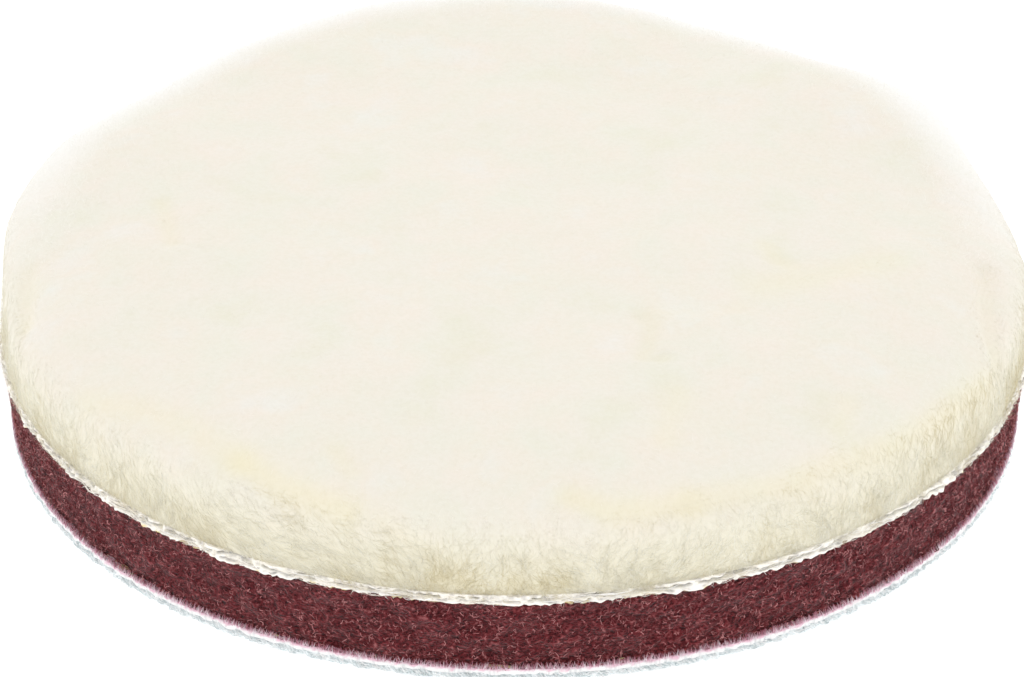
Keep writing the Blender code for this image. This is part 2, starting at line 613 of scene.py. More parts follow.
@dataclass
class Fibres:
    """Many closed tapering fibres in one mesh, too many for a modeller's hand."""

    name: str
    finish: FibreFinish
    sides: int = 3

    def build(
        self, paths: np.ndarray, radii: np.ndarray, tone: np.ndarray, shade: np.ndarray
    ) -> bpy.types.Object:
        """Make the mesh.

        Args:
            paths: each fibre's points from root to tip, as (fibre, point, x y z).
            radii: each fibre's radius at its root and short of its tip, as (fibre, 2).
            tone: each fibre's place across the finish's tones, 0 to 1.
            shade: each fibre's lightness, 0 to 1.

        Returns:
            The new object.
        """
        count, length, _ = paths.shape
        rings = length - 1
        sides = self.sides
        path = paths.astype(np.float64)
        along = unit(np.gradient(path, axis=1))
        rng = np.random.default_rng(count)
        aside = rng.normal(size=(count, 1, 3))
        first = unit(np.cross(along, aside))
        second = np.cross(along, first)
        taper = np.linspace(0, 1, rings)[None, :]
        width = radii[:, :1] * (1 - taper) + radii[:, 1:] * taper
        turn = np.arange(sides) * TURN / sides
        ring = (
            first[:, :rings, None] * np.cos(turn)[None, None, :, None]
            + second[:, :rings, None] * np.sin(turn)[None, None, :, None]
        )
        tube = path[:, :rings, None] + ring * width[:, :, None, None]
        each = rings * sides + 1
        vertices = np.concatenate([tube.reshape(count, -1, 3), path[:, -1:]], 1)

        corner, coordinate = self._one_fibre(rings)
        offset = (np.arange(count) * each)[:, None]
        loops = (corner[None] + offset).ravel()
        quads = (rings - 1) * sides
        sizes = np.array([4] * quads + [3] * sides + [sides])
        starts_one = np.concatenate([[0], np.cumsum(sizes)[:-1]])
        starts = (starts_one[None] + (np.arange(count) * len(corner))[:, None]).ravel()

        column = np.clip(tone * self.finish.columns, 0, self.finish.columns - 1).astype(int)
        row = np.clip(shade * self.finish.rows, 0, self.finish.rows - 1).astype(int)
        u = (column[:, None] + coordinate[None, :, 0]) / self.finish.columns
        v = (row[:, None] + coordinate[None, :, 1]) / self.finish.rows

        mesh = bpy.data.meshes.new(self.name)
        mesh.vertices.add(count * each)
        mesh.vertices.foreach_set("co", vertices.astype(np.float32).ravel())
        mesh.loops.add(len(loops))
        mesh.loops.foreach_set("vertex_index", loops.astype(np.int32))
        mesh.polygons.add(len(starts))
        mesh.polygons.foreach_set("loop_start", starts.astype(np.int32))
        mesh.polygons.foreach_set("use_smooth", np.zeros(len(starts), bool))
        layer = mesh.uv_layers.new(name=BAKE_MAP)
        layer.uv.foreach_set("vector", np.stack([u, v], -1).astype(np.float32).ravel())
        mesh.update(calc_edges=True)
        piece = bpy.data.objects.new(self.name, mesh)
        bpy.context.scene.collection.objects.link(piece)
        return piece

    def _one_fibre(self, rings: int) -> tuple:
        """List one fibre's face corners and where they lie in its tile of the map."""
        sides, corners, spots = self.sides, [], []
        tip = rings * sides
        left, wide, foot, tall = 0.12, 0.76, 0.10, 0.84
        for level in range(rings - 1):
            low, high = foot + tall * level / rings, foot + tall * (level + 1) / rings
            for side in range(sides):
                nxt = (side + 1) % sides
                start, stop = (left + wide * s / sides for s in (side, side + 1))
                corners += [level * sides + side, level * sides + nxt]
                corners += [(level + 1) * sides + nxt, (level + 1) * sides + side]
                spots += [(start, low), (stop, low), (stop, high), (start, high)]
        low, high = foot + tall * (rings - 1) / rings, foot + tall
        for side in range(sides):
            nxt = (side + 1) % sides
            start, stop = (left + wide * s / sides for s in (side, side + 1))
            corners += [(rings - 1) * sides + side, (rings - 1) * sides + nxt, tip]
            spots += [(start, low), (stop, low), ((start + stop) / 2, high)]
        corners += list(range(sides - 1, -1, -1))
        cap = [(left + wide * s / (sides - 1), 0.02 if s % 2 else 0.08) for s in range(sides)]
        spots += cap
        return np.array(corners), np.array(spots)


# ---------------------------------------------------------------------------------------------
# Wool


@dataclass
class Parting:
    """A crease where the pile lies apart, or with a depth below zero a tuft that stands proud."""

    line: tuple
    depth: float
    width: float
    # Painted light: above zero, painted shade that yellows the crease; below zero, a painted highlight
    # that pales the tuft.
    relief_shading: float = 0.3


@dataclass
class WoolShape:
    """The fluffed wool's outer surface: a superellipse crown over a side, with soft lumps.

    A place on it is given by its angle round the pad and its share of the outline, which runs from
    the crown's centre over the shoulder and down the side to the roots. A parting's line is a row
    of (degrees, share), and rim is a row of (degrees, rise) for where the rim stands higher.
    """

    radius: float
    root_radius: float
    base: float
    top: float
    widest: float = 0.0060
    squareness: float = 3.4
    partings: tuple = (
        Parting(((175, 0.600), (182, 0.586), (189, 0.581)), 0.00048, 0.0016),
        Parting(((186, 0.830), (193, 0.842), (198, 0.862)), 0.00078, 0.0016),
        Parting(((302, 0.390), (302, 0.425), (297, 0.479), (294, 0.508), (297, 0.526)), 0.0006, 0.0013),
        Parting(((304, 0.391), (312, 0.426), (320, 0.476)), 0.00024, 0.0020, 0.15),
        Parting(((347, 0.430), (341, 0.460), (341, 0.485)), 0.00042, 0.0016, 0.35),
        Parting(((330, 0.468), (337, 0.514), (343, 0.585), (348, 0.640)), 0.00018, 0.0036, 0.30),
        Parting(((353, 0.800), (345, 0.817), (339, 0.848), (336, 0.896)), 0.0009, 0.0016),
        Parting(((295, 0.629), (292, 0.674), (289, 0.731)), 0.0003, 0.0022),
        Parting(((314, 0.773), (310, 0.815)), 0.0003, 0.0020),
        Parting(((276, 0.826), (280, 0.856), (285, 0.861), (289, 0.860)), 0.00078, 0.0022, 0.55),
        Parting(((289, 0.860), (295, 0.860), (302, 0.874)), 0.00084, 0.0020, 0.55),
        Parting(((304, 0.866), (316, 0.883), (333, 0.900)), 0.00042, 0.0024, 0.45),
        Parting(((216, 0.865), (223, 0.815), (231, 0.815), (238, 0.832)), 0.00036, 0.0026, 0.35),
        Parting(((238, 0.832), (244, 0.855), (252, 0.872)), 0.0006, 0.0024, 0.60),
        Parting(((248, 0.765), (251, 0.800)), 0.00042, 0.0016),
        Parting(((266, 0.790), (267, 0.900), (267.5, 0.970)), -0.00048, 0.0016, -0.55),
        Parting(((277, 0.895), (278, 0.970)), -0.00036, 0.0016, -0.35),
        Parting(((286, 0.905), (286.5, 0.975)), -0.00036, 0.0016, -0.35),
        Parting(((293, 0.910), (294.5, 0.975)), -0.0003, 0.0015, -0.35),
        Parting(((240, 0.880), (246, 0.930), (255, 0.960)), -0.0003, 0.0018, -0.15),
        Parting(((228, 0.870), (236, 0.930), (245, 0.965)), -0.0003, 0.0018, -0.1),
        Parting(((256, 0.880), (261, 0.930), (264, 0.965)), 0.0003, 0.0018, 0.2),
        Parting(((262, 0.975), (270, 0.980), (275, 0.980)), 0.00018, 0.0014, 0.35),
    )
    rim: tuple = (
        (0, -0.0012), (10, -0.0014), (18, -0.0006), (28, 0.0016), (37, 0.0032), (45, 0.0028),
        (56, 0.0008), (61, 0.0006), (68, 0.0014), (76, 0.0028), (84, 0.0031), (106, 0.0032),
        (114, 0.0024), (122, 0.0016), (134, 0.0003), (146, 0.0002), (153, 0.0009), (160, 0.0022),
        (168, 0.0022), (174, 0.0008), (184, -0.0002), (200, 0.0), (345, 0.0),
    )
    lumps: WaveField = field(default_factory=lambda: WaveField(0.034, 11))
    tufts: WaveField = field(default_factory=lambda: WaveField(0.012, 12))
    curls: WaveField = field(default_factory=lambda: WaveField(0.0048, 13))
    steps: int = 400

    def __post_init__(self) -> None:
        """Tabulate the outline by its length from the crown's centre to the roots."""
        angle = np.linspace(math.pi / 2, 0, self.steps)
        power = 2 / self.squareness
        crown_r = self.radius * np.cos(angle) ** power
        crown_z = self.base + self.widest + (self.top - self.base - self.widest) * np.sin(angle) ** power
        crown_r[0] = 0.0
        turn = np.linspace(0, math.pi / 2, self.steps // 4)[1:]
        side_r = self.root_radius + (self.radius - self.root_radius) * np.cos(turn)
        side_z = self.base + self.widest * (1 - np.sin(turn))
        r, z = np.append(crown_r, side_r), np.append(crown_z, side_z)
        run = np.append(0, np.cumsum(np.hypot(np.diff(r), np.diff(z))))
        self.length = run[-1]
        self.run = run / run[-1]
        self.r, self.z = r, z
        weight = np.append(0, np.cumsum((r[1:] + r[:-1]) / 2 * np.diff(run)))
        self.area_share = weight / weight[-1]
        degrees = np.arange(0, 360, 2.0)
        marks, rises = np.array(self.rim).T
        rise = np.interp(degrees, marks, rises, period=360)
        rise = sum(np.roll(rise, shift) for shift in (-2, -1, 0, 1, 2)) / 5
        self.rim_angles, self.rim_rises = np.radians(degrees), rise

    def nearness(self, parting: Parting, places: np.ndarray) -> np.ndarray:
        """Give how near each place is to a parting, from 0 far off to 1 on its line."""
        degrees, share = np.array(parting.line, float).T
        stops, _, _ = self.surface(share, np.radians(degrees))
        near = np.full(places.shape[:-1], np.inf)
        for start, stop in zip(stops, stops[1:]):
            run = stop - start
            part = np.clip((places - start) @ run / (run @ run), 0, 1)
            gap = np.linalg.norm(places - start - part[..., None] * run, axis=-1)
            near = np.minimum(near, gap)
        return np.exp(-((near / parting.width) ** 2))

    def outline(self, share: np.ndarray) -> tuple:
        """Radius, height and outward normal's two parts at shares of the outline's length."""
        r, z = np.interp(share, self.run, self.r), np.interp(share, self.run, self.z)
        step = 0.004
        dr = np.interp(share + step, self.run, self.r) - np.interp(share - step, self.run, self.r)
        dz = np.interp(share + step, self.run, self.z) - np.interp(share - step, self.run, self.z)
        size = np.maximum(np.hypot(dr, dz), 1e-12)
        return r, z, -dz / size, dr / size

    def surface(self, share: np.ndarray, angle: np.ndarray) -> tuple:
        """Places and normals on the smooth outer surface.

        Args:
            share: how far along the outline, 0 at the crown's centre and 1 at the roots.
            angle: the angle round the axis.

        Returns:
            Places, outward normals and directions round the pad.
        """
        r, z, out_r, out_z = self.outline(share)
        past = np.maximum(share - 1, 0) * self.length
        r, z = r + 0.4 * past, z - past
        out, along = around(angle)
        places = out * r[..., None]
        places[..., 2] = z
        normals = out * out_r[..., None]
        normals[..., 2] = out_z
        return places, normals, along

    def fluff(self, places: np.ndarray) -> np.ndarray:
        """How far the lumpy surface stands out from the smooth one at these places."""
        low = self.shagginess(places)
        rise = 0.00028 * self.lumps.at(places) + 0.00009 * self.tufts.at(places)
        rise += (0.00002 + 0.00004 * low) * self.curls.at(places * (1, 1, 0.35))
        for parting in self.partings:
            rise = rise - parting.depth * self.nearness(parting, places)
        radius = np.hypot(places[..., 0], places[..., 1])
        angle = np.arctan2(places[..., 1], places[..., 0]) % TURN
        rim = np.interp(angle, self.rim_angles, self.rim_rises, period=TURN)
        rim = rim * smooth((radius - 0.030) / 0.040)
        rise = rise + rim * smooth((places[..., 2] - self.base - 0.003) / 0.010)
        held = smooth((places[..., 2] - self.base) / 0.003)
        return rise * held

    def shagginess(self, places: np.ndarray) -> np.ndarray:
        """How loosely the fibres lie: 0 on the crown and shoulder, 1 low on the side."""
        return smooth((self.base + 0.0135 - places[..., 2]) / 0.0105)

    def rim_sheen(self, places: np.ndarray) -> np.ndarray:
        """How much painted sheen whitens the fluffed-up rim, most of all at the back."""
        radius = np.hypot(places[..., 0], places[..., 1])
        rear = smooth(0.25 + 1.3 * places[..., 1] / np.maximum(radius, 1e-6))
        return rear * smooth((radius - 0.0625) / 0.0115)

    def relief_shading(self, places: np.ndarray) -> np.ndarray:
        """How much painted shade yellows the wool in its partings, and how much painted highlight pales it
        on its tufts.
        """
        return sum(parting.relief_shading * self.nearness(parting, places) for parting in self.partings)


@dataclass
class WoolPile:
    """The wool: a matted core, a coat of fine fibres all over it, a hem over the cloth, and strays."""

    shape: WoolShape
    core_depth: float = 0.00002
    side_depth: float = 0.00009
    core_cells: int = 240
    coat_count: int = 50000
    hem_count: int = 6000
    stray_count: int = 4000
    halo_count: int = 10000
    crown_part: float = 0.15
    crown_edge: float = 0.76
    batch: int = 12000

    def build(self) -> None:
        """Make, dress and place every piece of the wool."""
        fibre = WOOL_FIBRE.material()
        core = self.core()
        dress(core, WoolCoreFinish().material(), Body.WOOL_FACE)
        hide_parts("wool_pile")
        for piece in self.coat() + self.hem() + self.strays() + self.halo():
            dress(piece, fibre, Body.WOOL_FACE)

    def core(self) -> bpy.types.Object:
        """Model the core: a fine grid rounded into the crown and side, closed underneath."""
        select_nothing()
        cells = self.core_cells
        bpy.ops.mesh.primitive_grid_add(x_subdivisions=cells, y_subdivisions=cells, size=2)
        piece = named("wool_core")
        flat = points_of(piece)
        x, y = flat[:, 0], flat[:, 1]
        reach = np.maximum(np.abs(x), np.abs(y))
        wide = np.abs(x) >= np.abs(y)
        with np.errstate(divide="ignore", invalid="ignore"):
            leg = np.where(wide, y / x, x / y) * math.pi / 4
        leg = np.nan_to_num(leg)
        angle = np.where(wide, leg, math.pi / 2 - leg) + np.where(np.where(wide, x, y) < 0, math.pi, 0)
        places, normals, _ = self.shape.surface(reach, angle)
        depth = self.core_depth + self.side_depth * self.shape.shagginess(places)
        places += normals * (self.shape.fluff(places) - depth)[:, None]
        places[:, 2] = np.maximum(places[:, 2], self.shape.base)
        put_points(piece, places)
        edit(piece)
        bpy.ops.mesh.select_mode(type="EDGE")
        bpy.ops.mesh.select_non_manifold()
        bpy.ops.mesh.extrude_region_move()
        bpy.ops.transform.resize(value=(0.985, 0.985, 1.0), center_override=(0, 0, self.shape.base))
        bpy.ops.mesh.edge_face_add()
        bpy.ops.mesh.select_all(action="SELECT")
        bpy.ops.mesh.normals_make_consistent(inside=False)
        bpy.ops.object.mode_set(mode="OBJECT")
        places = points_of(piece)
        # Painted shade on the side and in the partings, painted sheen on the rim, for the core's finish to
        # read.
        paint(piece, "side", self.shape.shagginess(places))
        paint(piece, "relief_shading", self.shape.relief_shading(places))
        paint(piece, "pale", self.shape.rim_sheen(places))
        shade_round(piece, 75)
        return piece

    def heading(self, places: np.ndarray, angle: np.ndarray) -> np.ndarray:
        """Give the way the fibres lie at each place.

        Args:
            places: the fibres' roots.
            angle: each root's angle round the pad.

        Returns:
            The angle from straight down the outline towards the way round the pad.
        """
        rng = np.random.default_rng(25)
        degrees = np.degrees(angle)
        brushed = rng.uniform(0, TURN, len(places))
        swept = 0.95 * np.exp(-(((degrees - 243) / 16) ** 2))
        combed = 0.05 + swept + 0.28 * WaveField(0.018, 23).at(places)
        combed = combed + 0.15 * WaveField(0.006, 24).at(places) + rng.normal(0, 0.35, len(places))
        crown = (places[:, 2] - self.shape.base - 0.010) / 0.006
        return np.where(rng.uniform(0, 1, len(places)) < crown, brushed, combed)

    def trail(
        self,
        share: np.ndarray,
        angle: np.ndarray,
        length: np.ndarray,
        way: np.ndarray,
        heights: np.ndarray,
        waver: np.ndarray,
        rng: Chance,
    ) -> np.ndarray:
        """Trace fibres that follow the lumpy surface.

        Args:
            share: each root's share of the outline.
            angle: each root's angle round the pad.
            length: each fibre's length.
            way: each fibre's heading.
            heights: how far each point stands off the surface, as (fibre, point).
            waver: how far each fibre's heading strays along it, in radians.
            rng: the random numbers to use.

        Returns:
            Points as (fibre, point, x y z).
        """
        count, points = heights.shape
        t = np.linspace(0, 1, points)[None, :]
        start = rng.uniform(0, TURN, (count, 1))
        turn = way[:, None] + waver[:, None] * np.sin(start + t * rng.uniform(2.0, 5.5, (count, 1)))
        step = (length / (points - 1))[:, None]
        radius = np.maximum(np.interp(share, self.shape.run, self.shape.r), 0.004)[:, None]
        ahead = np.cumsum(np.cos(turn) * step, 1) - np.cos(turn[:, :1]) * step
        aside = np.cumsum(np.sin(turn) * step, 1) - np.sin(turn[:, :1]) * step
        spots, normals, _ = self.shape.surface(
            share[:, None] + ahead / self.shape.length,
            angle[:, None] + aside / radius,
        )
        paths = spots + normals * (self.shape.fluff(spots) + heights)[..., None]
        return paths

    def coat(self) -> list:
        """Make the fine fibres that lie over the crown and the side."""
        rng = np.random.default_rng(31)
        count = self.coat_count
        crown = np.interp(self.crown_edge, self.shape.run, self.shape.area_share)
        spread = rng.uniform(0, 1, count)
        drawn = np.where(spread < self.crown_part, spread / self.crown_part * crown,
                         crown + (spread - self.crown_part) / (1 - self.crown_part) * (1 - crown))
        share = np.interp(drawn, self.shape.area_share, self.shape.run)
        share = np.clip(share + rng.normal(0, 0.02, count), 0.01, 0.985)
        angle = rng.uniform(0, TURN, count)
        places, _, _ = self.shape.surface(share, angle)
        way = self.heading(places, angle)
        low = self.shape.shagginess(places)
        length = rng.uniform(0.0012, 0.0024, count) * (1 + 1.4 * low)
        proud = low * np.abs(rng.normal(0, 0.00006, count)) - 0.00003 * (1 - low)
        t = np.linspace(0, 1, 4)[None, :]
        depth = (0.00007 + 0.00009 * low)[:, None]
        heights = -depth + (depth + proud[:, None]) * np.sin(np.clip(t * 1.8, 0, 1) * math.pi / 2)
        paths = self.trail(share, angle, length, way, heights, rng.uniform(0.2, 0.9, count), rng)
        paths[..., 2] = np.maximum(paths[..., 2], self.shape.base - 0.0004)
        thick = rng.uniform(0.000013, 0.000020, count) * (1 + 0.4 * low)
        tone, shade = self.tones(paths[:, 2], rng)
        return self.batches("wool_coat", paths, np.stack([thick, thick * 0.6], 1), tone, shade)

    def batches(
        self, name: str, paths: np.ndarray, radii: np.ndarray, tone: np.ndarray, shade: np.ndarray
    ) -> list:
        """Make fibres in pieces that are each small enough.

        Args:
            name: the pieces' name, which each one's number follows.
            paths: each fibre's points from root to tip.
            radii: each fibre's radius at its root and short of its tip.
            tone: each fibre's place across the finish's tones.
            shade: each fibre's lightness.

        Returns:
            The new objects.
        """
        pieces = []
        for number, start in enumerate(range(0, len(paths), self.batch)):
            cut = slice(start, start + self.batch)
            maker = Fibres(f"{name}_{number + 1}", WOOL_FIBRE)
            pieces.append(maker.build(paths[cut], radii[cut], tone[cut], shade[cut]))
        return pieces

    def tones(self, places: np.ndarray, rng: Chance) -> tuple:
        """Give each fibre a tone of the side or of the crown, by soft clouds, and a shade of its own.

        Args:
            places: a place on each fibre.
            rng: the random numbers to use.

        Returns:
            Each fibre's tone and shade, 0 to 1.
        """
        count = len(places)
        cloud = WaveField(0.020, 41).at(places) * 0.05 + WaveField(0.007, 42).at(places) * 0.04
        streak = WaveField(0.0045, 43).at(places * (1, 1, 0.25)) * 0.06
        degrees = np.degrees(np.arctan2(places[:, 1], places[:, 0])) % 360
        # Painted shade: low on the side the tone falls towards the yellower, darker end, most of all at
        # the front foot.
        foot = smooth((self.shape.base + 0.0075 - places[:, 2]) / 0.0075)
        foot = foot * (0.08 + 0.18 * np.exp(-(((degrees - 262) / 16) ** 2)))
        below = smooth((self.shape.base + 0.0130 - places[:, 2]) / 0.0060) * 0.08
        # Painted shade yellows the fibres in the partings; painted highlight pales them on the proud
        # tufts.
        relief_shading = self.shape.relief_shading(places)
        side = 0.44 + cloud + streak - below - foot - 0.7 * relief_shading + rng.normal(0, 0.10, count)
        crown = 0.79 + cloud + rng.normal(0, 0.04, count)
        on_crown = rng.uniform(0, 1, count) > self.shape.shagginess(places) * 2.2 + 3 * relief_shading
        tone = np.where(on_crown, np.clip(crown, 0.68, 0.90), np.clip(side, 0, 0.54))
        # Painted sheen: fibres on the rim take the whitest tone.
        tone = np.where(rng.uniform(0, 1, count) < self.shape.rim_sheen(places), 0.98, tone)
        return tone, rng.uniform(0, 0.999, count)

    def hem(self) -> list:
        """Make the wispy fibres that hang over the cut edge of the cloth."""
        rng = np.random.default_rng(51)
        count = self.hem_count
        angle = rng.uniform(0, TURN, count)
        share = 1 - np.abs(rng.normal(0.022, 0.025, count))
        places, _, _ = self.shape.surface(share, angle)
        way = 0.9 * WaveField(0.009, 53).at(places) + rng.normal(0, 0.8, count)
        way = np.where(rng.uniform(0, 1, count) < 0.35, way + math.pi, way)
        length = rng.uniform(0.0015, 0.0042, count)
        t = np.linspace(0, 1, 4)[None, :]
        proud = np.abs(rng.normal(0, 0.00035, (count, 1)))
        heights = -0.0005 + (0.0006 + proud) * np.sin(np.clip(t * 1.3, 0, 1) * math.pi / 2)
        paths = self.trail(share, angle, length, way, heights, rng.uniform(0.3, 1.2, count), rng)
        paths[..., 2] = np.maximum(paths[..., 2], self.shape.base - 0.0006)
        thick = rng.uniform(0.000022, 0.000040, count)
        tone, shade = self.tones(paths[:, 2], rng)
        return self.batches("wool_hem", paths, np.stack([thick, thick * 0.5], 1), tone, shade)

    def strays(self) -> list:
        """Make the loose ends that stand out of the fluff and soften its outline."""
        rng = np.random.default_rng(61)
        count = self.stray_count
        on_crown = rng.uniform(0, 1, count) < 0.15
        share = np.where(on_crown, rng.uniform(0.05, 0.6, count), rng.uniform(0.5, 0.95, count))
        angle = rng.uniform(0, TURN, count)
        places, _, _ = self.shape.surface(share, angle)
        way = self.heading(places, angle) + rng.normal(0, 0.9, count)
        t = np.linspace(0, 1, 4)[None, :]
        proud = 0.0003 + rng.uniform(0, 1, (count, 1)) ** 2 * 0.0020 * smooth((share - 0.4) / 0.3)[:, None]
        heights = -0.0004 + (0.0004 + proud) * t**1.2
        length = rng.uniform(0.0008, 0.0024, count)
        paths = self.trail(share, angle, length, way, heights, rng.uniform(0.3, 1.2, count), rng)
        paths[..., 2] = np.maximum(paths[..., 2], self.shape.base)
        thick = rng.uniform(0.000009, 0.000018, count)
        tone, shade = self.tones(places, rng)
        return self.batches("wool_strays", paths, np.stack([thick, thick * 0.5], 1), tone, shade)

    def halo(self) -> list:
        """Make the thin upright hairs of the shoulder, thicker at the back, that blur its outline."""
        rng = np.random.default_rng(63)
        count = self.halo_count
        share = np.clip(rng.normal(0.79, 0.045, count), 0.62, 0.90)
        back = rng.uniform(0, 1, count) < 0.65
        angle = np.where(back, rng.uniform(-0.15, math.pi + 0.15, count), rng.uniform(0, TURN, count))
        way = rng.uniform(0, TURN, count)
        t = np.linspace(0, 1, 3)[None, :]
        rear = smooth(0.5 + 1.2 * np.sin(angle))
        proud = rng.uniform(0.05, 1, count) ** 3 * (0.0008 + 0.0026 * rear)
        heights = -0.0002 + (0.0002 + proud[:, None]) * t
        length = rng.uniform(0.0004, 0.0022, count)
        paths = self.trail(share, angle, length, way, heights, rng.uniform(0.3, 1.2, count), rng)
        thick = rng.uniform(0.000009, 0.000014, count)
        # Painted sheen: the halo hairs take the whitest tones.
        tone = rng.uniform(0.95, 0.999, count)
        return self.batches("wool_halo", paths, np.stack([thick, thick * 0.7], 1), tone, tone)


# ---------------------------------------------------------------------------------------------
# Layers under the wool


@dataclass
class Lathe:
    """A turned body: an outline of (radius, height) points swept round the axis."""

    name: str
    outline: list
    steps: int = 720

    def build(self) -> bpy.types.Object:
        """Draw the outline by extruding a point, sweep it round, and close it at the axis."""
        select_nothing()
        bpy.ops.mesh.primitive_plane_add(size=0.001)
        piece = named(self.name)
        edit(piece, "ALL")
        bpy.ops.mesh.select_mode(type="VERT")
        bpy.ops.mesh.merge(type="CENTER")
        start = self.outline[0]
        bpy.ops.transform.translate(value=(start[0], 0, start[1]))
        for (r, z), (next_r, next_z) in zip(self.outline, self.outline[1:]):
            move = {"value": (next_r - r, 0, next_z - z)}
            bpy.ops.mesh.extrude_region_move(TRANSFORM_OT_translate=move)
        bpy.ops.object.mode_set(mode="OBJECT")
        settle(piece)
        sweep = piece.modifiers.new("sweep", "SCREW")
        sweep.angle = TURN
        sweep.axis = "Z"
        sweep.steps = sweep.render_steps = self.steps
        sweep.use_merge_vertices = True
        bpy.ops.object.modifier_apply(modifier=sweep.name)
        edit(piece, "ALL")
        bpy.ops.mesh.remove_doubles(threshold=1e-7)
        bpy.ops.mesh.normals_make_consistent(inside=False)
        bpy.ops.object.mode_set(mode="OBJECT")
        shade_round(piece)
        return piece


def disc_outline(radius: float, low: float, high: float, steps: int, bulge: float) -> list:
    """Outline of a disc whose side bulges a little.

    Args:
        radius: the side's radius at its top and bottom.
        low: the height of the underside.
        high: the height of the top.
        steps: how many rows of faces the side has.
        bulge: how far the middle of the side stands out.

    Returns:
        Points of (radius, height) from the axis, round the side and back to the axis.
    """
    side = []
    for step in range(steps + 1):
        share = step / steps
        side.append((radius + bulge * math.sin(math.pi * share), low + (high - low) * share))
    inner = (radius - 0.003, radius - 0.0015, radius - 0.0006)
    under = [(0, low)] + [(r, low) for r in inner]
    over = [(r, high) for r in reversed(inner)] + [(0, high)]
    return under + side + over


def push_side(piece: bpy.types.Object, inner: float, push: Field, lift: Field | None = None) -> None:
    """Push a disc's side in or out, and up or down, by fields.

    Args:
        piece: the disc.
        inner: the radius inside which nothing moves.
        push: takes places and gives each one's outward shift in metres.
        lift: takes places and gives each one's rise in metres.
    """
    places = points_of(piece)
    radius = np.hypot(places[:, 0], places[:, 1])
    moving = radius > inner
    side = places[moving]
    share = smooth((radius[moving] - inner) / EDGE_BAND)
    out = unit(side * (1, 1, 0))
    shift = out * (push(side) * share)[:, None]
    if lift is not None:
        shift[:, 2] += lift(side) * share
    places[moving] += shift
    put_points(piece, places)


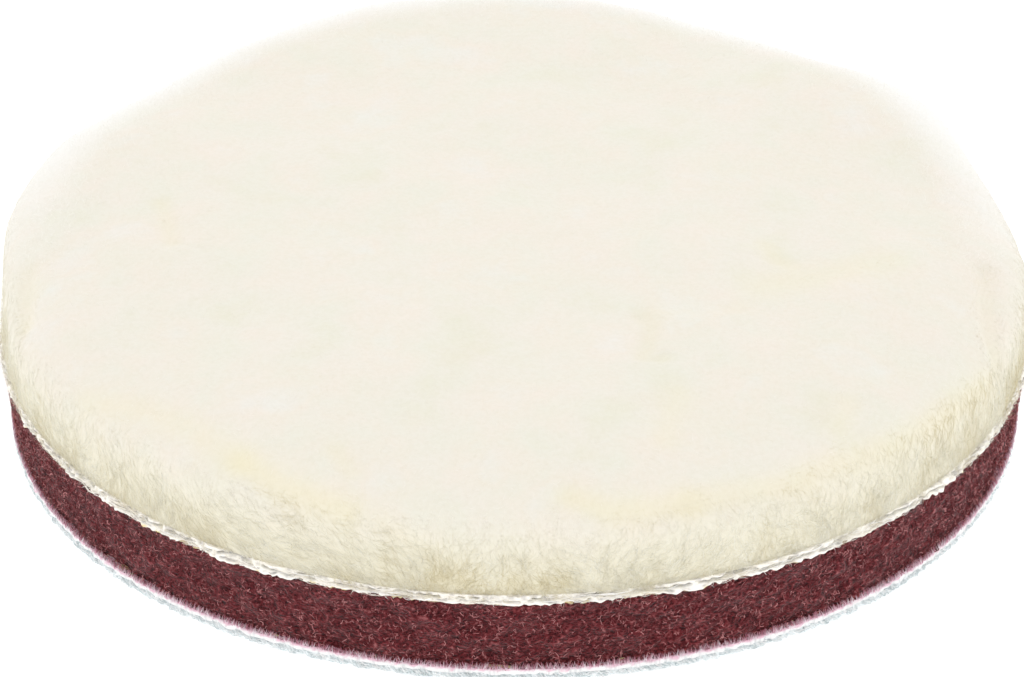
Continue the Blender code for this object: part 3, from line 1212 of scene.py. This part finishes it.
@dataclass
class GroundCloth:
    """The woven cloth that the wool is tufted through: a disc with a frayed, whitish cut edge."""

    radius: float
    low: float
    high: float
    fray_count: int = 2600
    thread_count: int = 900

    def build(self) -> None:
        """Make, dress and place the cloth, its frayed ends and its loose threads."""
        weave = CutClothFinish("woven_ground_cotton", (0.88, 0.85, 0.79), (0.62, 0.59, 0.55))
        cloth = Lathe("ground_cloth", disc_outline(self.radius, self.low, self.high, 12, 0.0001), 1500)
        cloth = cloth.build()
        side = points_of(cloth)
        outer = smooth((np.hypot(side[:, 0], side[:, 1]) - self.radius + EDGE_BAND) / 0.001)
        slit, lip, glue = self.slits(side)
        push_side(cloth, self.radius - EDGE_BAND, self.ragged, self.wavy)
        # Painted shade in the slits, painted highlight on the lips, and specks of glue.
        paint(cloth, "slit", slit * outer)
        paint(cloth, "lip", lip * outer)
        paint(cloth, "glue", glue * outer)
        dress(cloth, weave.material(), Body.WOOL_FACE)
        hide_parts("pile_ground_cloth")
        fibre = WEAVE_FIBRE.material()
        for piece in (self.fray(), self.threads()):
            dress(piece, fibre, Body.WOOL_FACE)
        outline = disc_outline(self.radius - 0.0006, self.low - 0.0003, self.low + 0.0001, 2, 0)
        coat = Lathe("back_coat", outline, 720).build()
        push_side(coat, self.radius - 0.003, lambda p: 0.00025 * WaveField(0.003, 71).at(p))
        finish = GlueFinish("latex_back_coat", (0.55, 0.46, 0.33), (0.36, 0.27, 0.17), 0.5)
        dress(coat, finish.material(), Body.WOOL_FACE)
        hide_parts("pile_back_coat")

    def slits(self, side: np.ndarray) -> tuple:
        """Say where the side has slits along it, bright lips beside them, and specks of glue.

        Args:
            side: places on the side.

        Returns:
            How much of a slit, a lip and a speck of glue each place is, 0 to 1.
        """
        level = (side[:, 2] - self.low) / (self.high - self.low)
        upper = 0.66 + 0.10 * WaveField(0.0070, 77).at(side)
        lower = 0.34 + 0.12 * WaveField(0.0050, 78).at(side)
        open_upper = smooth(0.6 + 1.1 * WaveField(0.0024, 79).at(side))
        open_lower = smooth(0.4 + 1.1 * WaveField(0.0020, 70).at(side))
        slit = open_upper * np.exp(-(((level - upper) / 0.09) ** 2))
        slit = np.maximum(slit, open_lower * np.exp(-(((level - lower) / 0.08) ** 2)))
        lip = np.exp(-(((level - 0.12) / 0.14) ** 2)) + np.exp(-(((level - 0.52) / 0.08) ** 2))
        glue = smooth(WaveField(0.0022, 69).at(side) - 1.35) * smooth((0.22 - level) / 0.1)
        return slit, np.minimum(lip, 1), glue

    def ragged(self, side: np.ndarray) -> np.ndarray:
        """Scallops and lumps along the cut edge, and slits along the side."""
        slit, lip, _ = self.slits(side)
        push = 0.00016 * WaveField(0.0060, 73).at(side) + 0.00014 * WaveField(0.0012, 74).at(side)
        return np.clip(push + 0.00010 * lip - 0.0006 * slit, -0.0011, 0.0007)

    def wavy(self, side: np.ndarray) -> np.ndarray:
        """Rise and fall of the edge, more at its foot."""
        foot = smooth((self.high - side[:, 2]) / (self.high - self.low))
        return foot * (0.00012 * WaveField(0.0070, 75).at(side) + 0.00014 * WaveField(0.0015, 76).at(side))

    def fray(self) -> bpy.types.Object:
        """Make the clipped yarn ends that stand out of the cut."""
        rng = np.random.default_rng(81)
        count = self.fray_count
        angle = rng.uniform(0, TURN, count)
        out, along = around(angle)
        height = rng.uniform(self.low + 0.0001, self.high - 0.0001, count)
        root = out * (self.radius - 0.0005)
        root[:, 2] = height
        lean = rng.normal(0, 2.2, count)[:, None] * along
        drop = np.zeros((count, 3))
        drop[:, 2] = rng.normal(-0.25, 0.4, count)
        way = unit(out + lean + drop)
        length = rng.uniform(0.0006, 0.0014, count)
        t = np.linspace(0, 1, 4)[None, :, None]
        sag = np.zeros((count, 4, 3))
        sag[..., 2] = rng.normal(-0.0001, 0.0002, (count, 1)) * (t[..., 0] ** 2)
        paths = root[:, None] + way[:, None] * length[:, None, None] * t + sag
        paths[..., 2] = np.clip(paths[..., 2], self.low - 0.0004, self.high + 0.0005)
        thick = rng.uniform(0.000025, 0.000050, count)
        maker = Fibres("ground_cloth_fray", WEAVE_FIBRE)
        tone, shade = rng.uniform(0, 0.999, (2, count))
        return maker.build(paths, np.stack([thick, thick * 0.8], 1), tone, shade)

    def threads(self) -> bpy.types.Object:
        """Make the thin threads that run along the edge and cross it."""
        rng = np.random.default_rng(82)
        count = self.thread_count
        steps = 8
        t = np.linspace(0, 1, steps)[None, :]
        length = rng.uniform(0.0020, 0.0065, (count, 1))
        angle = rng.uniform(0, TURN, (count, 1)) + length / self.radius * t
        rise = rng.normal(0, 0.0003, (count, 1)) * (t - 0.5)
        rise = rise + rng.normal(0, 0.00010, (count, 1)) * np.sin(t * rng.uniform(4, 10, (count, 1)))
        middle = rng.uniform(self.low + 0.0001, self.high - 0.0002, (count, 1))
        out, _ = around(angle)
        radius = self.radius + 0.0002 + 0.00020 * np.sin(t * 7 + rng.uniform(0, 6, (count, 1)))
        paths = out * radius[..., None]
        paths[..., 2] = np.clip(middle + rise, self.low - 0.0004, self.high + 0.0003)
        thick = rng.uniform(0.000025, 0.000055, count)
        maker = Fibres("ground_cloth_threads", WEAVE_FIBRE)
        tone, shade = rng.uniform(0, 0.999, (2, count))
        return maker.build(paths, np.stack([thick, thick], 1), tone, shade)


@dataclass
class SoftLayer:
    """The burgundy layer between: a soft disc whose cut side is a mass of short curly fibres."""

    low: float
    high: float
    foot_radius: float
    head_radius: float
    curl_count: int = 19000
    curl_batch: int = 9500
    fringe_count: int = 5200
    press: float = 0.0053  # a little over the joint's travel

    def radius_at(self, height: np.ndarray) -> np.ndarray:
        """Radius of the side at a height: it flares upward, drawn out by the cloth above."""
        share = np.clip((height - self.low) / (self.high - self.low), 0, 1)
        return self.foot_radius + (self.head_radius - self.foot_radius) * share**1.4

    def squashed(self, piece: bpy.types.Object) -> None:
        """Give a piece its own copy of its mesh."""
        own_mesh(piece)

    def build(self) -> None:
        """Make, dress and place the body, its curly fibres and the pale fringe at its foot."""
        outline = disc_outline(self.foot_radius, self.low, self.high, 26, 0)
        body = Lathe("soft_layer", outline, 720).build()
        places = points_of(body)
        radius = np.hypot(places[:, 0], places[:, 1])
        side = radius > self.foot_radius - 0.0031
        grown = self.radius_at(places[side, 2]) - self.foot_radius
        places[side] += unit(places[side] * (1, 1, 0)) * grown[:, None]
        put_points(body, places)
        coarse, fine = WaveField(0.0060, 91), WaveField(0.0020, 92)
        push_side(
            body,
            self.foot_radius - EDGE_BAND,
            lambda p: 0.00022 * coarse.at(p) + 0.00016 * fine.at(p) - 0.0003,
        )
        dress(body, FoamFinish().material(), Body.BACKING)
        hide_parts("foam_interlayer")
        self.squashed(body)
        for piece, material in self.curls() + [self.fringe()]:
            dress(piece, material, Body.BACKING)
            self.squashed(piece)

    def worms(
        self,
        angle: np.ndarray,
        height: np.ndarray,
        length: np.ndarray,
        curl: np.ndarray,
        proud: np.ndarray,
        steps: int,
        rng: Chance,
    ) -> np.ndarray:
        """Trace curly paths over the side.

        Args:
            angle: where each starts round the pad.
            height: where each starts up the side.
            length: each one's length.
            curl: how far each turns along its length, in radians.
            proud: how far each stands off the side.
            steps: how many points each has.
            rng: the random numbers to use.

        Returns:
            Points as (fibre, point, x y z).
        """
        count = len(angle)
        t = np.linspace(0, 1, steps)[None, :]
        heading = rng.normal(0, 0.7, (count, 1)) + math.pi * rng.integers(0, 2, (count, 1))
        turn = heading + curl[:, None] * t + 0.8 * np.sin(t * 5 + rng.uniform(0, 6, (count, 1)))
        step = length[:, None] / (steps - 1)
        run = np.cumsum(np.cos(turn) * step, 1)
        rise = np.cumsum(np.sin(turn) * step, 1)
        z = np.clip(height[:, None] + rise, self.low + 0.0001, self.high + 0.0001)
        radius = self.radius_at(z) + proud[:, None] + 0.00016 * np.sin(t * 6 + heading)
        out, _ = around(angle[:, None] + run / self.foot_radius)
        paths = out * radius[..., None]
        paths[..., 2] = z
        return paths

    def curls(self) -> list:
        """Make the short curly fibres over the whole side."""
        rng = np.random.default_rng(95)
        count = self.curl_count
        angle = rng.uniform(0, TURN, count)
        height = rng.uniform(self.low, self.high, count)
        length = rng.uniform(0.0005, 0.0012, count)
        curl = rng.normal(0, 2.0, count)
        proud = rng.uniform(-0.00015, 0.00025, count)
        paths = self.worms(angle, height, length, curl, proud, 4, rng)
        thick = rng.uniform(0.00004, 0.00007, count)
        # Painted light: curls that stand further out take lighter tones, sunk ones darker.
        tone = np.clip(0.50 + 0.9 * proud / 0.0006 + rng.normal(0, 0.20, count), 0, 0.999)
        shade = rng.uniform(0, 0.999, count)
        material = FOAM_FIBRE.material()
        pieces = []
        for number, begin in enumerate(range(0, count, self.curl_batch)):
            cut = slice(begin, begin + self.curl_batch)
            maker = Fibres(f"soft_layer_curls_{number + 1}", FOAM_FIBRE)
            radii = np.stack([thick, thick * 0.8], 1)
            piece = maker.build(paths[cut], radii[cut], tone[cut], shade[cut])
            pieces.append((piece, material))
        return pieces

    def fringe(self) -> tuple:
        """Make the pale fuzz where the soft layer meets the knit."""
        rng = np.random.default_rng(96)
        count = self.fringe_count
        angle = rng.uniform(0, TURN, count)
        fall = rng.uniform(0.0005, 0.0011, count)
        t = np.linspace(0, 1, 4)[None, :]
        out, _ = around(angle[:, None] + rng.normal(0, 0.0045, (count, 1)) * t)
        foot = self.low - 0.0001 + rng.normal(0, 0.00009, count)
        proud = 0.0001 + 0.00035 * np.sin(t * 2.2) * rng.uniform(0.4, 1.2, (count, 1))
        paths = out * (self.foot_radius + proud)[..., None]
        paths[..., 2] = foot[:, None] + fall[:, None] * (1 - t)
        thick = rng.uniform(0.00004, 0.00007, count)
        finish = PINK_FIBRE
        tone, shade = rng.uniform(0, 0.999, (2, count))
        piece = Fibres("soft_layer_fringe", finish).build(paths, np.stack([thick, thick], 1), tone, shade)
        return piece, finish.material()


@dataclass
class LoopFabric:
    """The brushed fabric underneath: a white knit ground with grey-white loops that grip."""

    radius: float
    foot: float
    seam: float
    top: float
    edge_count: int = 4200
    under_count: int = 2000

    def build(self) -> None:
        """Make, dress and place the knit, the loops' bed and the loops."""
        knit = Lathe("loop_knit", disc_outline(self.radius, self.seam, self.top, 4, 0.0001), 1080).build()
        push_side(knit, self.radius - EDGE_BAND, lambda p: 0.00012 * WaveField(0.0018, 101).at(p))
        side = points_of(knit)
        level = (side[:, 2] - self.seam) / (self.top - self.seam) + 0.15 * WaveField(0.0009, 103).at(side)
        paint(knit, "tint", smooth((level - 0.45) / 0.5))
        finish = KnitFinish("white_knit_ground", (0.93, 0.93, 0.93), (0.78, 0.79, 0.80), 0.0007)
        dress(knit, finish.material(), Body.BACKING)
        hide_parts("loop_ground_cloth")
        outline = disc_outline(self.radius - 0.0003, self.foot + 0.0003, self.seam, 4, 0)
        bed = Lathe("loop_bed", outline, 1080).build()
        push_side(bed, self.radius - 0.0017, lambda p: 0.00016 * WaveField(0.0011, 102).at(p))
        finish = WeaveFinish("loop_bed_knit", (0.88, 0.92, 0.93), (0.72, 0.77, 0.79), 0.0007)
        dress(bed, finish.material(), Body.BACKING)
        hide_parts("loop_pile")
        fibre = LOOP_FIBRE.material()
        for piece in (self.edge_loops(), self.under_loops()):
            dress(piece, fibre, Body.BACKING)

    def hoops(
        self,
        centre: np.ndarray,
        across: np.ndarray,
        up: np.ndarray,
        wide: np.ndarray,
        tall: np.ndarray,
        rng: Chance,
    ) -> np.ndarray:
        """Trace small half-round loops.

        Args:
            centre: the middle of each loop's feet.
            across: the way from foot to foot.
            up: the way out to the loop's top.
            wide: each loop's half width.
            tall: each loop's height.
            rng: the random numbers to use.

        Returns:
            Points as (loop, point, x y z).
        """
        t = np.linspace(0, math.pi, 5)[None, :]
        skew = rng.normal(0, 0.3, (len(centre), 1))
        side = (-np.cos(t) + skew * np.sin(t)) * wide[:, None]
        rise = np.sin(t) * tall[:, None]
        return centre[:, None] + across[:, None] * side[..., None] + up[:, None] * rise[..., None]

    def edge_loops(self) -> bpy.types.Object:
        """Make the loops that show round the edge, lying over on the slant."""
        rng = np.random.default_rng(105)
        count = self.edge_count
        angle = rng.uniform(0, TURN, count)
        out, along = around(angle)
        centre = out * (self.radius - 0.0005)
        centre[:, 2] = rng.uniform(self.foot + 0.0003, self.seam, count)
        down = np.zeros((count, 3))
        down[:, 2] = -1
        across = unit(along + down * rng.normal(0.7, 0.4, (count, 1)))
        up = unit(out + down * rng.uniform(0.0, 0.6, (count, 1)) + along * rng.normal(0, 0.4, (count, 1)))
        wide, tall = rng.uniform(0.0003, 0.0008, count), rng.uniform(0.0004, 0.0008, count)
        paths = self.hoops(centre, across, up, wide, tall, rng)
        return self.finish_loops("loop_edge", paths, rng)

    def under_loops(self) -> bpy.types.Object:
        """Make the loops that hang below the bed over its whole face."""
        rng = np.random.default_rng(106)
        count = self.under_count
        angle = np.arange(count) * GOLDEN_ANGLE
        radius = (self.radius - 0.0012) * np.sqrt((np.arange(count) + 0.5) / count)
        out, _ = around(angle)
        centre = out * radius[:, None]
        centre[:, 2] = self.foot + 0.0005
        turn = rng.uniform(0, TURN, count)
        across, _ = around(turn)
        up = np.zeros((count, 3))
        up[:, 2] = -1
        up = unit(up + rng.normal(0, 0.35, (count, 3)) * (1, 1, 0))
        wide, tall = rng.uniform(0.0006, 0.0011, count), rng.uniform(0.00035, 0.00050, count)
        paths = self.hoops(centre, across, up, wide, tall, rng)
        return self.finish_loops("loop_face", paths, rng)

    def finish_loops(self, name: str, paths: np.ndarray, rng: Chance) -> bpy.types.Object:
        """Keep the loops above the floor and give them their thickness and tones.

        Args:
            name: the piece's name.
            paths: each loop's points.
            rng: the random numbers to use.

        Returns:
            The new object.
        """
        count = len(paths)
        thick = rng.uniform(0.00005, 0.00009, count)
        paths[..., 2] = np.maximum(paths[..., 2], self.foot + 0.0001)
        tone, shade = rng.uniform(0, 0.999, (2, count))
        return Fibres(name, LOOP_FIBRE).build(paths, np.stack([thick, thick], 1), tone, shade)


@dataclass
class GlueLine:
    """A film of laminating glue with beads squeezed out at its rim."""

    name: str
    node: str
    radius: float
    height: float
    body: Body
    seed: int
    thickness: float = 0.00030

    def build(self) -> None:
        """Make, dress and place the film."""
        low, high = self.height - self.thickness / 2, self.height + self.thickness / 2
        film = Lathe(self.name, disc_outline(self.radius, low, high, 3, 0.0001), 900).build()
        beads, drift = WaveField(0.0016, self.seed), WaveField(0.010, self.seed + 1)
        push_side(
            film,
            self.radius - EDGE_BAND,
            lambda p: np.clip(0.0004 * beads.at(p) + 0.0003 * drift.at(p) - 0.0002, -0.0005, 0.0007),
        )
        finish = GlueFinish(f"{self.name}_glue", (0.62, 0.50, 0.26), (0.78, 0.66, 0.40), 0.28)
        dress(film, finish.material(), self.body)
        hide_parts(self.node)


# ---------------------------------------------------------------------------------------------
# The pad and the studio


@dataclass
class Pad:
    """The whole pad, from the loops that grip up to the wool."""

    def build(self) -> None:
        """Build the layers from the bottom up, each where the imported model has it."""
        loops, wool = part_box("loop_pile"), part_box("wool_pile")
        soft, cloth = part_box("foam_interlayer"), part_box("pile_ground_cloth")
        lower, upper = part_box("lower_adhesive_film"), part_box("upper_adhesive_film")
        soft_low, soft_high = lower[1].z - 0.0001, upper[0].z + 0.0002
        LoopFabric(loops[1].x, loops[0].z, loops[1].z + 0.0002, soft_low).build()
        GlueLine("lower_glue", "lower_adhesive_film", lower[1].x + 0.0001, soft_low,
                 Body.BACKING, 111).build()
        SoftLayer(soft_low, soft_high, soft[1].x - 0.0008, soft[1].x + 0.0004).build()
        GlueLine("upper_glue", "upper_adhesive_film", upper[1].x + 0.0008, soft_high + 0.0001,
                 Body.WOOL_FACE, 113).build()
        GroundCloth(cloth[1].x - 0.0001, soft_high + 0.0002, cloth[1].z + 0.0001).build()
        shape = WoolShape(wool[1].x, wool[1].x - 0.0002, cloth[1].z - 0.0001, wool[1].z - 0.0003)
        WoolPile(shape).build()


@dataclass
class Studio:
    """Pale paper under the pad, even soft light from all round, and the camera."""

    floor_size: float = 6.0
    distance: float = 0.900
    elevation: float = math.radians(31.2)
    lens: float = 210.7
    aim: tuple = (-0.0004, 0.0, 0.0111)
    dome: float = 1.27
    overhead: float = 0.8
    lamp_size: float = 1.6
    lamp_place: tuple = (-0.5, 0.4, 2.6)
    diffuse_bounces: int = 12
    max_bounces: int = 16

    def build(self) -> None:
        """Set out the floor, the lights and the camera."""
        self.floor()
        self.light()
        self.camera()

    def floor(self) -> None:
        """Lay the paper."""
        select_nothing()
        bpy.ops.mesh.primitive_grid_add(x_subdivisions=8, y_subdivisions=8, size=self.floor_size)
        paper = named("studio_floor")
        paper.data.materials.append(FloorFinish().material())

    def light(self) -> None:
        """Light the dome, and hang one large soft light overhead."""
        world = bpy.data.worlds.new("soft_dome")
        bpy.context.scene.world = world
        world.use_nodes = True
        background = world.node_tree.nodes["Background"]
        background.inputs["Color"].default_value = (1, 1, 1, 1)
        background.inputs["Strength"].default_value = self.dome
        lamp = bpy.data.lights.new("overhead_softbox", "AREA")
        lamp.shape = "DISK"
        lamp.size = self.lamp_size
        lamp.energy = self.overhead
        fixture = bpy.data.objects.new("overhead_softbox", lamp)
        fixture.location = self.lamp_place
        fixture.rotation_euler = (-fixture.location).to_track_quat("-Z", "Y").to_euler()
        bpy.context.scene.collection.objects.link(fixture)

    def camera(self) -> None:
        """Stand the camera in front of the pad, looking down at it."""
        data = bpy.data.cameras.new("camera")
        data.lens = self.lens
        data.clip_start = 0.01
        camera = bpy.data.objects.new("camera", data)
        away, up = math.cos(self.elevation), math.sin(self.elevation)
        camera.location = (0, -self.distance * away, self.distance * up)
        look = Vector(self.aim) - camera.location
        camera.rotation_euler = look.to_track_quat("-Z", "Y").to_euler()
        bpy.context.scene.collection.objects.link(camera)
        bpy.context.scene.camera = camera
        bpy.context.scene.view_settings.view_transform = "Standard"
        bpy.context.scene.cycles.diffuse_bounces = self.diffuse_bounces
        bpy.context.scene.cycles.max_bounces = self.max_bounces


def main() -> None:
    """Build the pad and the studio."""
    line = "%(name)s %(relativeCreated)d ms: %(message)s"
    logging.basicConfig(level=logging.INFO, format=line, stream=sys.stdout)
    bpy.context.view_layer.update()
    Studio().build()
    Pad().build()


if __name__ == "__main__":
    main()
